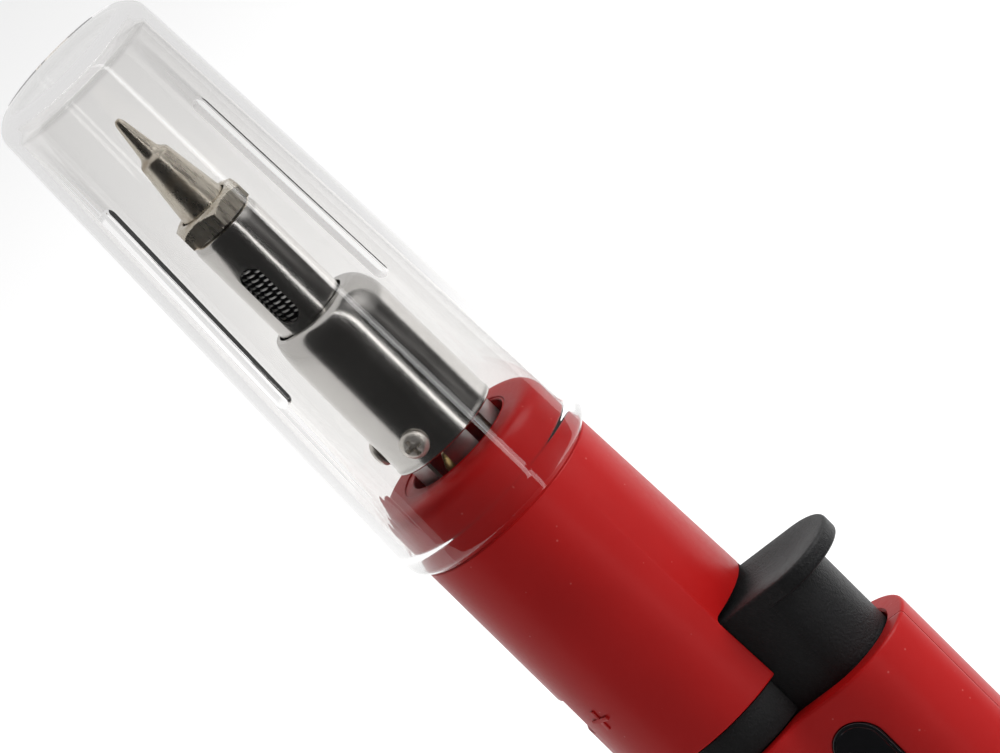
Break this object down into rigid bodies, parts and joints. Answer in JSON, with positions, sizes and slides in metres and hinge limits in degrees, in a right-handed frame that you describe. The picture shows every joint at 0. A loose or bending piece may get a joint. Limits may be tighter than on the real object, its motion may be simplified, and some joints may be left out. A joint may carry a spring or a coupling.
{
  "type": "butane torch",
  "caption": "Pen-type butane torch with a soldering tip, clear push-on cap, sliding trigger, piezo igniter and refillable tank.",
  "frame": {"origin": "on the flat base face, at the tool's axis", "axes": "+Z along the tool towards the tip, +X towards the trigger, -X towards the flow adjuster"},
  "size_m": [0.042, 0.029, 0.2365],
  "materials": {
    "clear_cap": "clear moulded polycarbonate, polished",
    "red_shell": "satin moulded red",
    "black_plastic": "fine spark-eroded texture",
    "gloss_black": "gloss plate",
    "polished_steel": "polished tube, faint draw lines",
    "plain_steel": "plain steel",
    "nickel": "turned, nickel plated",
    "brass": "turned brass",
    "ceramic": "glazed white",
    "rubber": "matt",
    "nylon": "pale moulded nylon",
    "tank_plastic": "smoked moulded plastic"
  },
  "bodies": {
    "housing": {"soldering_tip": "nickel", "barrel_tube": "polished_steel", "catalyst_gauze": "plain_steel", "heat_shield": "polished_steel", "shield_screw_1": "plain_steel", "shield_screw_2": "plain_steel", "shield_screw_3": "plain_steel", "mixing_tube": "plain_steel", "burner_plate": "brass", "igniter_insulator": "ceramic", "igniter_electrode": "plain_steel", "igniter_lead": "rubber", "jet_holder": "brass", "gas_jet": "brass", "flow_regulator": "brass", "gas_tube": "nylon", "valve_body": "brass", "valve_spring": "plain_steel", "lever_pin": "plain_steel", "front_shell": "red_shell", "chassis": "black_plastic", "trigger_spring": "plain_steel", "piezo_body": "black_plastic", "rear_shell_left": "red_shell", "rear_shell_right": "red_shell", "badge": "gloss_black", "shell_screw_1": "plain_steel", "shell_screw_2": "plain_steel", "shell_screw_3": "plain_steel", "fuel_tank": "tank_plastic", "tank_seal": "rubber", "refill_valve": "brass", "refill_seal": "rubber", "base_cap": "black_plastic"},
    "cap": {"cap": "clear_cap"},
    "tip_nut": {"tip_nut": "nickel"},
    "trigger": {"trigger": "black_plastic", "piezo_plunger": "nylon"},
    "valve_lever": {"valve_lever": "plain_steel"},
    "valve_stem": {"valve_stem": "brass"},
    "flow_adjuster": {"flow_adjuster": "black_plastic"},
    "refill_stem": {"refill_stem": "brass"}
  },
  "joints": [
    {"name": "cap_pull", "type": "slide", "parent": "housing", "child": "cap", "axis": [0, 0, 1], "range_m": [0, 0.09]},
    {"name": "nut_turn", "type": "hinge", "parent": "housing", "child": "tip_nut", "pos_m": [-0.0005, 0, 0.211], "axis": [0, 0, 1], "continuous": true},
    {"name": "trigger_slide", "type": "slide", "parent": "housing", "child": "trigger", "axis": [0, 0, -1], "range_m": [0, 0.008], "stiffness_N_per_m": 900, "springref_m": -0.004, "deforming": ["trigger_spring"]},
    {"name": "lever_turn", "type": "hinge", "parent": "housing", "child": "valve_lever", "pos_m": [-0.0067, 0, 0.097], "axis": [0, -1, 0], "range_deg": [0, 10]},
    {"name": "stem_lift", "type": "slide", "parent": "housing", "child": "valve_stem", "axis": [0, 0, 1], "range_m": [0, 0.0014], "deforming": ["valve_spring", "gas_tube"]},
    {"name": "flow_turn", "type": "hinge", "parent": "housing", "child": "flow_adjuster", "pos_m": [-0.0005, 0, 0.1344], "axis": [0, 0, 1], "range_deg": [-24, 24]},
    {"name": "refill_press", "type": "slide", "parent": "housing", "child": "refill_stem", "axis": [0, 0, 1], "range_m": [0, 0.0015], "stiffness_N_per_m": 1500, "springref_m": -0.001}
  ],
  "couplings": [
    {"joint": "lever_turn", "follows": "trigger_slide", "rad_per_m": 21.816},
    {"joint": "stem_lift", "follows": "trigger_slide", "ratio": 0.175}
  ]
}
